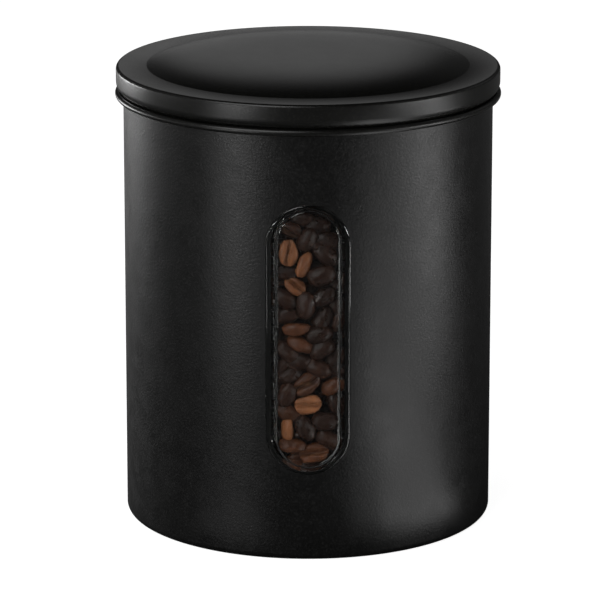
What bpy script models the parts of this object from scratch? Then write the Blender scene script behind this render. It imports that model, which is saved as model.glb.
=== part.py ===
"""Coffee canister: a steel barrel with a clear window in its wall, closed by a lift-off lid with a seal.

Metres, +Z up. The origin is the middle of the underside and the window faces -Y.
"""

from math import atan2, cos, pi, radians, sin

import bmesh
import bpy

# Sheet steel and the gaps between pieces
SHEET = 0.0005  # barrel, base and lid cover, coat included
SEAT_GAP = 0.0003  # between pieces that rest on or in each other
SEAL_GAP = 0.00015  # either side of a seal or a lip that is squeezed tight
OVERRUN = 0.002  # how far every cutter reaches past what it cuts

# Barrel
BARREL_RADIUS = 0.077
BARREL_HEIGHT = 0.1896
FOOT_RADIUS = 0.003  # rounding between the wall and the flange underneath
FLANGE_WIDTH = 0.005  # flat ring that the canister stands on
RIM_CURL_RADIUS = 0.0012  # the mouth's edge, rolled inwards
RIM_CURL_END = radians(-85)  # where the roll stops short of the wall

# Base, pressed from sheet and set inside the barrel
BASE_EDGE_HEIGHT = 0.006  # upturned edge, above the underside
PANEL_MARGIN = 0.006  # from the flange's inner edge to the foot of the panel's step
PANEL_STEP_WIDTH = 0.002
PANEL_RISE = 0.0015

# Window: sizes as seen square on, all with half-round ends
WINDOW_WIDTH = 0.0349  # the pane's lip, outside the barrel
WINDOW_RIM_MARGIN = 0.03905  # from the barrel's rim down to the lip
WINDOW_FOOT_MARGIN = 0.03705  # from the underside up to the lip
LIP_THICKNESS = 0.0012
POCKET_SIDE_MARGIN = 0.0046  # from the lip's edge to the see-through middle
POCKET_END_MARGIN = 0.00275
PLUG_SIDE_WALL = 0.0018  # the pane's wall that passes through the barrel
PLUG_END_WALL = 0.0013
PANE_THICKNESS = 0.0015  # see-through middle
GASKET_THICKNESS = 0.001
GASKET_INSET = 0.0005  # the gasket's edge lies this far inside the frame's
FRAME_THICKNESS = 0.0022
FRAME_WIDTH = 0.004
PLUG_PAST_FRAME = 0.0004

# Lid cover, with heights counted from the barrel's rim
LID_CLEARANCE = 0.0006  # between the neck and the barrel
SKIRT_DRAW_IN = 0.0019  # from the skirt to the neck above the hem
LID_DEPTH = 0.013  # from the flat ring to the foot of the hem
LID_CORNER_RADIUS = 0.0014
SKIRT_STRAIGHT = 0.0049  # below the corner, before it draws in
HEM_RADIUS = 0.0014  # edge rolled outwards
HEM_CURL_END = radians(100)
RING_WIDTH = 0.0128  # from the skirt to the crease at the foot of the raised middle
DOME_HEIGHT = 0.005
DOME_FULLNESS = 3.6  # exponent: a larger one gives a flatter top and steeper sides

# Lid insert, a plug of moulded plastic, and its seal
INSERT_WALL = 0.0013
INSERT_EDGE_GAP = 0.0005  # from its flange to the cover's skirt
PLUG_DEPTH = 0.013  # below the rim
PLUG_CLEARANCE = 0.0007  # from the widest part of the plug to the rim's curl
PLUG_TAPER = 0.0005
PLUG_CORNER_RADIUS = 0.002
SEAL_GROOVE_DEPTH = 0.001
SEAL_GROOVE_HEIGHT = 0.0035
SEAL_LIP_DEPTH = 0.0006  # valley between the seal's two lips
SEAL_CREST_SHARE = 1 / 3  # of a lip's height, flat at its crest

# Fineness
TURN_STEPS = 60
SEMICIRCLE_STEPS = 12
CURL_STEPS = 8
CORNER_STEPS = 4
DOME_STEPS = 7
MERGE = 0.00001

# Sizes that follow
BARREL_INSIDE = BARREL_RADIUS - SHEET
FLANGE_INSIDE = BARREL_RADIUS - FOOT_RADIUS - FLANGE_WIDTH
MOUTH_RADIUS = BARREL_RADIUS - 2 * RIM_CURL_RADIUS
PANEL_RADIUS = FLANGE_INSIDE - PANEL_MARGIN - PANEL_STEP_WIDTH
WINDOW_HEIGHT = BARREL_HEIGHT - WINDOW_RIM_MARGIN - WINDOW_FOOT_MARGIN
WINDOW_MIDDLE_HEIGHT = WINDOW_FOOT_MARGIN + WINDOW_HEIGHT / 2
POCKET_WIDTH = WINDOW_WIDTH - 2 * POCKET_SIDE_MARGIN
POCKET_HEIGHT = WINDOW_HEIGHT - 2 * POCKET_END_MARGIN
PLUG_WIDTH = POCKET_WIDTH + 2 * PLUG_SIDE_WALL
PLUG_HEIGHT = POCKET_HEIGHT + 2 * PLUG_END_WALL
LIP_INSIDE = BARREL_RADIUS + SEAL_GAP
LIP_OUTSIDE = LIP_INSIDE + LIP_THICKNESS
GASKET_OUTSIDE = BARREL_INSIDE - SEAL_GAP
GASKET_INSIDE = GASKET_OUTSIDE - GASKET_THICKNESS
FRAME_OUTSIDE = GASKET_INSIDE - SEAL_GAP
FRAME_INSIDE = FRAME_OUTSIDE - FRAME_THICKNESS
FRAME_REACH = 2 * (SEAT_GAP + FRAME_WIDTH)
INSERT_TOP = SEAT_GAP + INSERT_WALL
LID_RING_HEIGHT = INSERT_TOP + SEAT_GAP + SHEET
NECK_RADIUS = BARREL_RADIUS + LID_CLEARANCE + SHEET
SKIRT_RADIUS = NECK_RADIUS + SKIRT_DRAW_IN
DOME_RADIUS = SKIRT_RADIUS - RING_WIDTH
PLUG_RADIUS = MOUTH_RADIUS - PLUG_CLEARANCE
GROOVE_RADIUS = PLUG_RADIUS - SEAL_GROOVE_DEPTH


def clear_scene():
    for obj in list(bpy.data.objects):
        bpy.data.objects.remove(obj, do_unlink=True)


def collection(name):
    made = bpy.data.collections.new(name)
    bpy.context.scene.collection.children.link(made)
    return made


def material(name, colour, roughness, metallic=0.0, transmission=0.0):
    made = bpy.data.materials.new(name)
    made.use_nodes = True
    made.diffuse_color = (*colour, 1.0)
    shader = made.node_tree.nodes["Principled BSDF"]
    shader.inputs["Base Color"].default_value = (*colour, 1.0)
    shader.inputs["Roughness"].default_value = roughness
    shader.inputs["Metallic"].default_value = metallic
    shader.inputs["Transmission Weight"].default_value = transmission
    return made


def powder_coat(name):
    return material(name, (0.018, 0.018, 0.017), 0.5)


def clear_plastic(name):
    return material(name, (0.93, 0.95, 0.94), 0.04, transmission=1.0)


def black_plastic(name):
    return material(name, (0.012, 0.012, 0.012), 0.4)


def silicone(name):
    return material(name, (0.03, 0.03, 0.031), 0.6)


def arc(centre, radius, start, end, steps):
    """Points of an arc in the plane of radius and height."""
    turn = (end - start) / steps
    return [
        (centre[0] + radius * cos(start + turn * i), centre[1] + radius * sin(start + turn * i))
        for i in range(steps + 1)
    ]


def turned(name, group, profile, finish, wall=None):
    """A profile of (radius, height) points turned about Z, running down its outer side.

    With a wall the profile is the outer face of a sheet, and without one it is the whole closed section.
    """
    count = len(profile)
    last = count if wall is None else count - 1
    edges = [(i, (i + 1) % count) for i in range(last)]
    mesh = bpy.data.meshes.new(name)
    mesh.from_pydata([(radius, 0.0, height) for radius, height in profile], edges, [])
    obj = bpy.data.objects.new(name, mesh)
    group.objects.link(obj)
    obj.data.materials.append(finish)
    screw = obj.modifiers.new("turn", "SCREW")
    screw.axis = "Z"
    screw.steps = TURN_STEPS
    screw.render_steps = TURN_STEPS
    screw.use_merge_vertices = True
    screw.merge_threshold = MERGE
    screw.use_smooth_shade = True
    if wall is not None:
        shell = obj.modifiers.new("wall", "SOLIDIFY")
        shell.thickness = wall
        shell.offset = -1.0
        shell.use_even_offset = True
    return obj


def combine(obj, other, operation):
    modifier = obj.modifiers.new(other.name, "BOOLEAN")
    modifier.operation = operation
    modifier.object = other
    modifier.solver = "EXACT"


def hide_as_cutter(obj):
    obj.hide_render = True
    obj.display_type = "WIRE"


def obround_points(width, height):
    """Outline with half-round ends, upright, about its own middle."""
    radius = width / 2
    rise = height / 2 - radius
    upper = arc((0.0, rise), radius, 0.0, pi, SEMICIRCLE_STEPS)
    lower = arc((0.0, -rise), radius, pi, 2 * pi, SEMICIRCLE_STEPS)
    return upper + lower


def window_prism(name, cutters, width, height):
    """Upright obround bar from the barrel's axis out past the window's lip."""
    curve = bpy.data.curves.new(name, "CURVE")
    curve.dimensions = "2D"
    curve.fill_mode = "BOTH"
    curve.extrude = (LIP_OUTSIDE + OVERRUN) / 2
    points = obround_points(width, height)
    spline = curve.splines.new("POLY")
    spline.points.add(len(points) - 1)
    for point, (across, up) in zip(spline.points, points):
        point.co = (across, up, 0.0, 1.0)
    spline.use_cyclic_u = True
    outline = bpy.data.objects.new(name + "_outline", curve)
    outline.location = (0.0, -curve.extrude, WINDOW_MIDDLE_HEIGHT)
    outline.rotation_euler = (pi / 2, 0.0, 0.0)
    cutters.objects.link(outline)
    return curve_to_mesh(outline, name, cutters)


def curve_to_mesh(outline, name, cutters):
    """Replaces a filled curve by a closed mesh object in the same place."""
    bpy.context.view_layer.update()
    graph = bpy.context.evaluated_depsgraph_get()
    mesh = bpy.data.meshes.new_from_object(outline.evaluated_get(graph))
    welded = bmesh.new()
    welded.from_mesh(mesh)
    bmesh.ops.remove_doubles(welded, verts=welded.verts, dist=MERGE)
    welded.to_mesh(mesh)
    welded.free()
    obj = bpy.data.objects.new(name, mesh)
    obj.matrix_world = outline.matrix_world
    cutters.objects.link(obj)
    bpy.data.objects.remove(outline, do_unlink=True)
    hide_as_cutter(obj)
    return obj


def wall_patch(name, group, inside, outside, prism, finish):
    """The part of a tube between two radii that lies inside an obround window prism."""
    top = WINDOW_MIDDLE_HEIGHT + WINDOW_HEIGHT / 2 + FRAME_REACH + OVERRUN
    bottom = WINDOW_MIDDLE_HEIGHT - WINDOW_HEIGHT / 2 - FRAME_REACH - OVERRUN
    section = [(outside, top), (outside, bottom), (inside, bottom), (inside, top)]
    patch = turned(name, group, section, finish)
    combine(patch, prism, "INTERSECT")
    return patch


def make_barrel(group, cutters):
    rim_middle = (BARREL_RADIUS - RIM_CURL_RADIUS, BARREL_HEIGHT - RIM_CURL_RADIUS)
    foot_middle = (BARREL_RADIUS - FOOT_RADIUS, FOOT_RADIUS)
    profile = arc(rim_middle, RIM_CURL_RADIUS, 2 * pi + RIM_CURL_END, 0.0, CURL_STEPS + CORNER_STEPS)
    profile += arc(foot_middle, FOOT_RADIUS, 0.0, -pi / 2, CORNER_STEPS)
    profile.append((FLANGE_INSIDE, 0.0))
    barrel = turned("barrel", group, profile, powder_coat("barrel_coat"), SHEET)
    cutout = window_prism("window_cutout", cutters, PLUG_WIDTH + 2 * SEAT_GAP, PLUG_HEIGHT + 2 * SEAT_GAP)
    combine(barrel, cutout, "DIFFERENCE")
    return barrel


def make_base(group):
    foot_middle = (BARREL_RADIUS - FOOT_RADIUS, FOOT_RADIUS)
    turn_radius = FOOT_RADIUS - SHEET - SEAT_GAP
    floor = foot_middle[1] - turn_radius
    profile = [(foot_middle[0] + turn_radius, BASE_EDGE_HEIGHT)]
    profile += arc(foot_middle, turn_radius, 0.0, -pi / 2, CORNER_STEPS)
    profile.append((PANEL_RADIUS + PANEL_STEP_WIDTH, floor))
    profile.append((PANEL_RADIUS, floor + PANEL_RISE))
    profile.append((0.0, floor + PANEL_RISE))
    return turned("base", group, profile, powder_coat("base_coat"), SHEET)


def make_window_pane(group, cutters):
    """A lip outside the barrel and a plug through its wall, hollowed behind the see-through middle."""
    finish = clear_plastic("pane_plastic")
    lip_prism = window_prism("lip_prism", cutters, WINDOW_WIDTH, WINDOW_HEIGHT)
    plug_prism = window_prism("plug_prism", cutters, PLUG_WIDTH, PLUG_HEIGHT)
    pocket_prism = window_prism("pocket_prism", cutters, POCKET_WIDTH, POCKET_HEIGHT)
    pane = wall_patch("window_pane", group, LIP_INSIDE, LIP_OUTSIDE, lip_prism, finish)
    plug_end = FRAME_INSIDE - PLUG_PAST_FRAME
    plug_root = LIP_INSIDE + LIP_THICKNESS / 2
    plug = wall_patch("plug_body", cutters, plug_end, plug_root, plug_prism, finish)
    hide_as_cutter(plug)
    combine(pane, plug, "UNION")
    pocket = wall_patch(
        "pocket_body", cutters, plug_end - OVERRUN, LIP_OUTSIDE - PANE_THICKNESS, pocket_prism, finish
    )
    hide_as_cutter(pocket)
    combine(pane, pocket, "DIFFERENCE")
    return pane


def make_window_ring(name, group, prisms, inside, outside, finish):
    """An obround ring against the barrel's wall, round the pane's plug."""
    outer_prism, inner_prism = prisms
    ring = wall_patch(name, group, inside, outside, outer_prism, finish)
    combine(ring, inner_prism, "DIFFERENCE")
    return ring


def make_window_gasket(group, cutters, hole):
    reach = FRAME_REACH - 2 * GASKET_INSET
    outer = window_prism("gasket_prism", cutters, PLUG_WIDTH + reach, PLUG_HEIGHT + reach)
    finish = silicone("gasket_silicone")
    return make_window_ring("window_gasket", group, (outer, hole), GASKET_INSIDE, GASKET_OUTSIDE, finish)


def make_window_frame(group, cutters, hole):
    outer = window_prism("frame_prism", cutters, PLUG_WIDTH + FRAME_REACH, PLUG_HEIGHT + FRAME_REACH)
    finish = black_plastic("frame_plastic")
    return make_window_ring("window_frame", group, (outer, hole), FRAME_INSIDE, FRAME_OUTSIDE, finish)


def dome_points():
    """The raised middle of the lid, from its top to the crease at its foot."""
    points = []
    for i in range(DOME_STEPS + 1):
        radius = DOME_RADIUS * sin(pi / 2 * i / DOME_STEPS)
        fall = (radius / DOME_RADIUS) ** DOME_FULLNESS
        points.append((radius, LID_RING_HEIGHT + DOME_HEIGHT * (1.0 - fall)))
    return points


def make_lid_cover(group):
    """One pressing: raised middle, flat ring, skirt drawn in to a neck, and a hem rolled outwards."""
    corner = (SKIRT_RADIUS - LID_CORNER_RADIUS, LID_RING_HEIGHT - LID_CORNER_RADIUS)
    hem = (NECK_RADIUS - SHEET + HEM_RADIUS, LID_RING_HEIGHT - LID_DEPTH + HEM_RADIUS)
    straight_end = corner[1] - SKIRT_STRAIGHT
    fall = straight_end - hem[1] - HEM_RADIUS
    sweep_radius = (SKIRT_DRAW_IN**2 + fall**2) / (2 * SKIRT_DRAW_IN)
    sweep_middle = (SKIRT_RADIUS - sweep_radius, straight_end)
    sweep = -2 * atan2(SKIRT_DRAW_IN, fall)
    profile = dome_points()
    profile += arc(corner, LID_CORNER_RADIUS, pi / 2, 0.0, CORNER_STEPS)
    profile += arc(sweep_middle, sweep_radius, 0.0, sweep, CORNER_STEPS)
    profile += arc(hem, HEM_RADIUS - SHEET, pi, 2 * pi + HEM_CURL_END, CURL_STEPS)
    return turned("lid_cover", group, profile, powder_coat("lid_coat"), SHEET)


def make_lid_insert(group):
    """A flange over the rim, a groove for the seal, and a closed plug in the mouth."""
    flange_radius = SKIRT_RADIUS - SHEET - INSERT_EDGE_GAP
    groove_foot = SEAT_GAP - SEAL_GROOVE_HEIGHT
    foot_radius = PLUG_RADIUS - PLUG_TAPER
    corner = (foot_radius - PLUG_CORNER_RADIUS, PLUG_CORNER_RADIUS - PLUG_DEPTH)
    profile = [
        (flange_radius, SEAT_GAP),
        (GROOVE_RADIUS, SEAT_GAP),
        (GROOVE_RADIUS, groove_foot),
        (PLUG_RADIUS, groove_foot),
    ]
    profile += arc(corner, PLUG_CORNER_RADIUS, 0.0, -pi / 2, CORNER_STEPS)
    profile.append((0.0, -PLUG_DEPTH))
    return turned("lid_insert", group, profile, black_plastic("insert_plastic"), INSERT_WALL)


def make_lid_seal(group):
    """A silicone band in the plug's groove, with two lips towards the rim's curl."""
    top = SEAT_GAP - SEAL_GAP
    bottom = SEAT_GAP - SEAL_GROOVE_HEIGHT + SEAL_GAP
    lip_radius = MOUTH_RADIUS - SEAT_GAP
    lip_height = (top - bottom) / 2
    inner = GROOVE_RADIUS + SEAL_GAP
    valley = lip_radius - SEAL_LIP_DEPTH
    middle = bottom + lip_height
    slope_height = lip_height * (1 - SEAL_CREST_SHARE) / 2
    profile = [
        (valley, top),
        (lip_radius, top - slope_height),
        (lip_radius, middle + slope_height),
        (valley, middle),
        (lip_radius, middle - slope_height),
        (lip_radius, bottom + slope_height),
        (valley, bottom),
        (inner, bottom),
        (inner, top),
    ]
    return turned("lid_seal", group, profile, silicone("seal_silicone"))


def make_lid(group):
    """The lid's pieces hang from an empty on the barrel's axis, level with its rim."""
    seat = bpy.data.objects.new("lid_seat", None)
    seat.location = (0.0, 0.0, BARREL_HEIGHT)
    group.objects.link(seat)
    for piece in (make_lid_cover(group), make_lid_insert(group), make_lid_seal(group)):
        piece.parent = seat


def main():
    clear_scene()
    canister = collection("coffee_canister")
    cutters = collection("cutters")
    make_barrel(canister, cutters)
    make_base(canister)
    make_window_pane(canister, cutters)
    hole = window_prism("ring_hole", cutters, PLUG_WIDTH + 2 * SEAT_GAP, PLUG_HEIGHT + 2 * SEAT_GAP)
    make_window_gasket(canister, cutters, hole)
    make_window_frame(canister, cutters, hole)
    make_lid(canister)


main()
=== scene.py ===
"""The looks of the coffee canister, built round its CAD model.

Metres, +Z up, the window faces -Y. The turned pieces follow their sections round the axis, and the window's
pieces follow an upright outline with half-round ends. The beans behind the window are the loose contents.
"""

import logging
from collections.abc import Sequence
from dataclasses import dataclass, field
from enum import Enum
from math import atan2, cos, pi, radians, sin, sqrt, tan

import bmesh
import bpy
import numpy as np
from mathutils import Matrix, Vector


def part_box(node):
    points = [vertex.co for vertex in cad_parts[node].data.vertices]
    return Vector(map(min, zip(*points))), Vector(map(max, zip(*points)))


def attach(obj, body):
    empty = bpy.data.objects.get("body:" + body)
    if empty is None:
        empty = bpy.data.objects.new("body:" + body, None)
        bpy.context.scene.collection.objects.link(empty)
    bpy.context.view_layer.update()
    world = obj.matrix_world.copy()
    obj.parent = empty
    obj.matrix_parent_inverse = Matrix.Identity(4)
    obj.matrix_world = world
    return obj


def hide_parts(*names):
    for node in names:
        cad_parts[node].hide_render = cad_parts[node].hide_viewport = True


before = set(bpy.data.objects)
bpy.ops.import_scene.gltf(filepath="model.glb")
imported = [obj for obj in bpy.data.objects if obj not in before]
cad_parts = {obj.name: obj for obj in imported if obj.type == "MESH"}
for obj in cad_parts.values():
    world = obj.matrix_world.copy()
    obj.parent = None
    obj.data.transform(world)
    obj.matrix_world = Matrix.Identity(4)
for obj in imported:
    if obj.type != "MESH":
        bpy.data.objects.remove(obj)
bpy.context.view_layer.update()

LOG = logging.getLogger("coffee_canister")

Point = tuple[float, float]
Colour = tuple[float, float, float]
Socket = bpy.types.NodeSocket
Value = Socket | float | int | str | tuple[float, ...] | bpy.types.ID
Inputs = dict[str | int, Value]

MERGE = 1e-6
SHARP_ANGLE = radians(40)
EDGE_STEPS = 4
CORNER_STEPS = 6
LIP_STEPS = 8
ARC_STEPS = 12
RIM_STEPS = 24
HEM_STEPS = 28
NOISE_RANGE = (0.3, 0.7)
WHITE = (1.0, 1.0, 1.0, 1.0)


class Body(Enum):
    """The two bodies of the CAD model."""

    CANISTER = "canister"
    LID = "lid"


class Side(Enum):
    """The side of a bean that faces outwards, as a turn about its long axis in degrees."""

    BACK = 0.0
    LEFT_FLANK = 75.0
    CREASE = 180.0
    CREASE_LEFT = 150.0
    CREASE_RIGHT = 210.0
    RIGHT_FLANK = 285.0


class Tree:
    """A node tree that is built one node at a time."""

    def __init__(self, tree: bpy.types.NodeTree) -> None:
        """Takes a tree and removes its nodes."""
        self.tree = tree
        tree.nodes.clear()

    def feed(self, socket: Socket, value: Value) -> None:
        """Links another node's output to an input, or sets the input's own value.

        Args:
            socket: the input.
            value: an output to link, or a plain value.
        """
        if isinstance(value, Socket):
            self.tree.links.new(value, socket)
        else:
            socket.default_value = value

    def add(self, kind: str, inputs: Inputs | None = None, **settings: object) -> bpy.types.Node:
        """Adds a node.

        Args:
            kind: the node's type name.
            inputs: what goes into its inputs, by name or number.
            **settings: the node's own properties.

        Returns:
            The node.
        """
        node = self.tree.nodes.new(kind)
        for name, value in settings.items():
            setattr(node, name, value)
        for key, value in (inputs or {}).items():
            self.feed(node.inputs[key], value)
        return node

    def math(self, operation: str, *values: Value) -> Socket:
        """Adds a Math node for an operation on one to three values and returns its output."""
        return self.add("ShaderNodeMath", dict(enumerate(values)), operation=operation).outputs[0]

    def axes(self, vector: Socket) -> bpy.types.NodeOutputs:
        """Returns a vector's X, Y and Z."""
        return self.add("ShaderNodeSeparateXYZ", {0: vector}).outputs

    def coordinates(self, kind: str) -> Socket:
        """Returns one kind of texture coordinates."""
        return self.add("ShaderNodeTexCoord").outputs[kind]

    def ramp(self, value: Value, span: Point, ends: Point = (0.0, 1.0)) -> Socket:
        """Turns one range of numbers smoothly into another.

        Args:
            value: the number to turn.
            span: the range that it is read in.
            ends: what the range's two ends give.

        Returns:
            The turned number.
        """
        names = ("Value", "From Min", "From Max", "To Min", "To Max")
        inputs = dict(zip(names, (value, *span, *ends)))
        return self.add("ShaderNodeMapRange", inputs, interpolation_type="SMOOTHSTEP").outputs[0]


class Finish(Tree):
    """A material: one Principled BSDF and the textures that feed it."""

    def __init__(self, name: str) -> None:
        """Makes the material with its shader, output and Object coordinates.

        Args:
            name: the material's name.
        """
        self.material = bpy.data.materials.new(name)
        self.material.use_nodes = True
        super().__init__(self.material.node_tree)
        self.shader = self.add("ShaderNodeBsdfPrincipled")
        self.add("ShaderNodeOutputMaterial", {"Surface": self.shader.outputs[0]})
        self.place = self.coordinates("Object")

    def set(self, **inputs: Value) -> None:
        """Feeds the shader's inputs, whose names are given with _ for each space."""
        for name, value in inputs.items():
            self.feed(self.shader.inputs[name.replace("_", " ")], value)

    def noise(self, size: float, detail: float = 2.0) -> Socket:
        """Returns a noise from 0 to 1 with spots of a size in metres, in the object's own space."""
        inputs = {"Vector": self.place, "Scale": 1 / size, "Detail": detail}
        return self.add("ShaderNodeTexNoise", inputs).outputs[0]

    def mix(self, factor: Value, first: Value, second: Value) -> Socket:
        """Mixes two colours.

        Args:
            factor: the second colour's share.
            first: a colour or an output.
            second: a colour or an output.

        Returns:
            The mixed colour.
        """
        colours = [value if isinstance(value, Socket) else (*value, 1.0) for value in (first, second)]
        inputs = {0: factor, 6: colours[0], 7: colours[1]}
        return self.add("ShaderNodeMix", inputs, data_type="RGBA").outputs[2]

    def relief(self, *layers: tuple[Value, float]) -> None:
        """Bends the shader's normal by layers of heights.

        Args:
            *layers: each a number from 0 to 1 and its height in metres.
        """
        total: Value = 0.0
        for amount, height in layers:
            total = self.math("MULTIPLY_ADD", amount, height, total)
        bump = self.add("ShaderNodeBump", {"Height": total, "Distance": 1.0, "Strength": 1.0})
        self.set(Normal=bump.outputs[0])


@dataclass(frozen=True)
class PowderCoat:
    """Powder coat on sheet steel: nearly black, with a fine grain.

    Attributes:
        slot: the record's material slot.
        colour: the coat's colour.
        fleck: the colour of its lighter grains.
        roughness: lowest and highest roughness, in soft patches.
        specular: how strongly it mirrors.
        grain_size: the size of a grain.
        grain_height: how far the grains stand up.
        peel_height: the height of the soft waves of a baked coat.
        seam_height: how far the weld at the back stands up, or 0 for none.
        peel_size: the size of the soft waves.
        speckle: how far the roughness goes up and down with the grains.
        seam_width: half the width of the weld.
        side_roughness: what upright faces are rougher by.
        patch_grains: the size of the soft patches, in grains.
        fleck_range: the grains between which the lighter colour comes in.
        speckle_range: the grains between which the roughness goes up.
        side_range: how level a face is where side_roughness begins and ends to fade.
    """

    slot: str
    colour: Colour = (0.0035, 0.0035, 0.0034)
    fleck: Colour = (0.009, 0.009, 0.0088)
    roughness: Point = (0.35, 0.41)
    specular: float = 0.4
    grain_size: float = 0.0009
    grain_height: float = 0.00008
    peel_height: float = 0.00001
    seam_height: float = 0.0
    peel_size: float = 0.0032
    speckle: float = 0.035
    seam_width: float = 0.0016
    side_roughness: float = 0.0
    patch_grains: float = 9.0
    fleck_range: Point = (0.52, 0.72)
    speckle_range: Point = (0.35, 0.65)
    side_range: Point = (0.2, 0.8)

    def build(self) -> bpy.types.Material:
        """Returns the material."""
        finish = Finish(self.slot)
        grain = finish.noise(self.grain_size, 3.0)
        patches = finish.noise(self.grain_size * self.patch_grains)
        flecks = finish.ramp(grain, self.fleck_range)
        finish.set(Base_Color=finish.mix(flecks, self.colour, self.fleck), Specular_IOR_Level=self.specular)
        cloud = finish.ramp(patches, NOISE_RANGE, self.roughness)
        speckle = finish.ramp(grain, self.speckle_range, (-self.speckle, self.speckle))
        level = finish.math("ABSOLUTE", finish.axes(finish.coordinates("Normal"))[2])
        upright = finish.ramp(level, self.side_range, (self.side_roughness, 0.0))
        finish.set(Roughness=finish.math("ADD", finish.math("ADD", cloud, speckle), upright))
        layers = [(grain, self.grain_height), (finish.noise(self.peel_size), self.peel_height)]
        if self.seam_height > 0:
            layers.append((self.weld(finish), self.seam_height))
        finish.relief(*layers)
        return finish.material

    def weld(self, finish: Finish) -> Socket:
        """Adds the upright line of the weld at the back of the barrel.

        Args:
            finish: the material it goes into.

        Returns:
            1 on the line and 0 beside it.
        """
        across, along, _ = finish.axes(finish.place)
        line = finish.ramp(finish.math("ABSOLUTE", across), (0.0, self.seam_width), (1.0, 0.0))
        return finish.math("MULTIPLY", line, finish.math("GREATER_THAN", along, 0.0))


@dataclass(frozen=True)
class MouldedPlastic:
    """Black moulded plastic with the fine texture of its mould.

    Attributes:
        slot: the record's material slot.
        colour: its colour.
        roughness: lowest and highest roughness.
        texture_size: the size of the mould's texture.
        texture_height: the depth of the mould's texture.
        lighter: how much lighter its pale clouds are.
        cloud_textures: the size of the clouds, against the texture's.
    """

    slot: str
    colour: Colour = (0.012, 0.012, 0.012)
    roughness: Point = (0.32, 0.5)
    texture_size: float = 0.0006
    texture_height: float = 0.00002
    lighter: float = 1.7
    cloud_textures: float = 30.0

    def build(self) -> bpy.types.Material:
        """Returns the material."""
        finish = Finish(self.slot)
        cloud = finish.noise(self.texture_size * self.cloud_textures, 3.0)
        lighter = tuple(self.lighter * part for part in self.colour)
        finish.set(Base_Color=finish.mix(cloud, self.colour, lighter))
        finish.set(Roughness=finish.ramp(cloud, NOISE_RANGE, self.roughness))
        finish.relief((finish.noise(self.texture_size), self.texture_height))
        return finish.material


@dataclass(frozen=True)
class Silicone:
    """Soft dark silicone, dull, with a dusty bloom.

    Attributes:
        slot: the record's material slot.
        colour: its colour.
        bloom: the colour of the bloom on it.
        roughness: lowest and highest roughness.
        cloud_size: the size of the bloom's clouds.
        grain_size: the size of its grain.
        grain_height: how far the grain stands up.
    """

    slot: str
    colour: Colour = (0.022, 0.022, 0.023)
    bloom: Colour = (0.045, 0.045, 0.047)
    roughness: Point = (0.5, 0.68)
    cloud_size: float = 0.004
    grain_size: float = 0.0007
    grain_height: float = 0.000012

    def build(self) -> bpy.types.Material:
        """Returns the material."""
        finish = Finish(self.slot)
        cloud = finish.noise(self.cloud_size, 4.0)
        finish.set(Base_Color=finish.mix(cloud, self.colour, self.bloom))
        finish.set(Roughness=finish.ramp(cloud, NOISE_RANGE, self.roughness))
        finish.relief((finish.noise(self.grain_size), self.grain_height))
        return finish.material


@dataclass(frozen=True)
class ClearPlastic:
    """Clear moulded plastic, polished, with the faint waves of its mould.

    Attributes:
        slot: the record's material slot.
        colour: the tint of what shows through.
        index: its refractive index.
        wave_size: the size of the waves.
        wave_height: the height of the waves.
        rim: a dark tint on the lip outside the plug, which is painted shade over the coat.
        painted_shade_blend: how far that painted shade's beginning reaches to each side.
        roughness: lowest and highest roughness.
        smear_size: the size of faint smears.
        smear_tint: how much of the colour is left in them.
        smear_range: the smears between which the roughness goes up.
    """

    slot: str
    colour: Colour = (0.97, 0.98, 0.975)
    # Painted shade: the dark tint of the lip outside the plug.
    rim: Colour = (0.36, 0.37, 0.36)
    index: float = 1.49
    wave_size: float = 0.006
    wave_height: float = 0.000006
    painted_shade_blend: float = 0.0003
    roughness: Point = (0.015, 0.05)
    smear_size: float = 0.009
    smear_tint: float = 0.985
    smear_range: Point = (0.45, 0.8)

    def build(self, clear: "Outline", middle: float) -> bpy.types.Material:
        """Makes the material.

        Args:
            clear: the outline inside which it is clear.
            middle: height of the outline's middle.

        Returns:
            The material.
        """
        finish = Finish(self.slot)
        smear = finish.noise(self.smear_size, 4.0)
        dim = tuple(self.smear_tint * part for part in self.colour)
        across, _, height = finish.axes(finish.place)
        above = finish.math("ABSOLUTE", finish.math("SUBTRACT", height, middle))
        beyond = finish.math("MAXIMUM", finish.math("SUBTRACT", above, (clear.height - clear.width) / 2), 0.0)
        squared = finish.math("POWER", beyond, 2.0)
        away = finish.math("SQRT", finish.math("MULTIPLY_ADD", across, across, squared))
        half = clear.width / 2
        # Painted shade: outside the plug's outline the plastic is tinted dark, so the band over the coat
        # reads darker.
        rim = finish.ramp(away, (half - self.painted_shade_blend, half + self.painted_shade_blend))
        finish.set(Base_Color=finish.mix(rim, finish.mix(smear, self.colour, dim), self.rim))
        finish.set(Roughness=finish.ramp(smear, self.smear_range, self.roughness))
        finish.set(Transmission_Weight=1.0, IOR=self.index)
        finish.relief((finish.noise(self.wave_size), self.wave_height))
        return finish.material


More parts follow.
